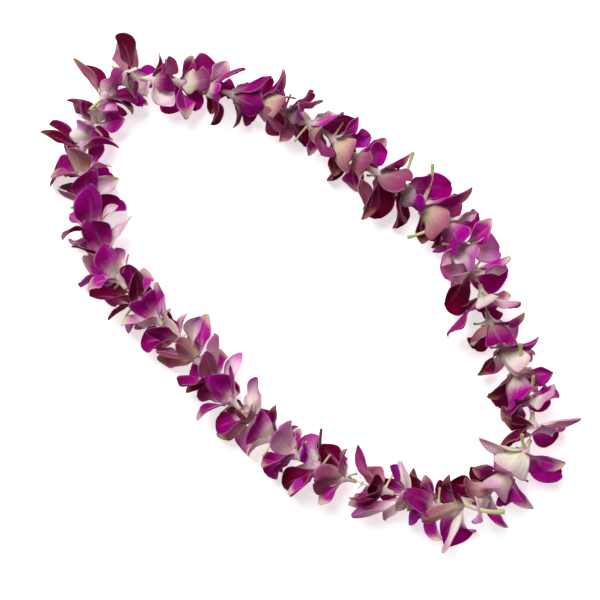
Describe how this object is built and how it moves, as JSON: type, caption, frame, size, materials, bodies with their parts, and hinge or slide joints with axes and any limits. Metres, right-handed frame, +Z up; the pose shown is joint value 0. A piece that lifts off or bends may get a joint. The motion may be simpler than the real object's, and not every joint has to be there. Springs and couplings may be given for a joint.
{
  "type": "fresh flower lei",
  "caption": "Closed garland of orchid blossoms strung through their middles on one knotted thread, worn round the neck or laid as an oval on a table.",
  "frame": {"origin": "middle of the oval lei's bounding box, on the surface it lies on", "axes": "+X along the oval's long axis, +Y across it, +Z up from the surface; seen from above the blossoms face clockwise"},
  "size_m": [0.4809, 0.2689, 0.0496],
  "materials": {
    "orchid_petal": "fresh orchid petal, satin, magenta-purple fading to white at the middle of the blossom",
    "cotton_thread": "twisted off-white cotton lei thread, matte"
  },
  "bodies": {
    "root": {"blossom_01": "orchid_petal", "blossom_02": "orchid_petal", "blossom_03": "orchid_petal", "blossom_04": "orchid_petal", "blossom_05": "orchid_petal", "blossom_06": "orchid_petal", "blossom_07": "orchid_petal", "blossom_08": "orchid_petal", "blossom_09": "orchid_petal", "blossom_10": "orchid_petal", "blossom_11": "orchid_petal", "blossom_12": "orchid_petal", "blossom_13": "orchid_petal", "blossom_14": "orchid_petal", "blossom_15": "orchid_petal", "blossom_16": "orchid_petal", "blossom_17": "orchid_petal", "blossom_18": "orchid_petal", "blossom_19": "orchid_petal", "blossom_20": "orchid_petal", "blossom_21": "orchid_petal", "blossom_22": "orchid_petal", "blossom_23": "orchid_petal", "blossom_24": "orchid_petal", "blossom_25": "orchid_petal", "blossom_26": "orchid_petal", "blossom_27": "orchid_petal", "blossom_28": "orchid_petal", "blossom_29": "orchid_petal", "blossom_30": "orchid_petal", "blossom_31": "orchid_petal", "blossom_32": "orchid_petal", "blossom_33": "orchid_petal", "blossom_34": "orchid_petal", "blossom_35": "orchid_petal", "blossom_36": "orchid_petal", "blossom_37": "orchid_petal", "blossom_38": "orchid_petal", "blossom_39": "orchid_petal", "blossom_40": "orchid_petal", "blossom_41": "orchid_petal", "blossom_42": "orchid_petal", "blossom_43": "orchid_petal", "blossom_44": "orchid_petal", "blossom_45": "orchid_petal", "blossom_46": "orchid_petal", "blossom_47": "orchid_petal", "blossom_48": "orchid_petal", "thread": "cotton_thread"}
  },
  "joints": []
}
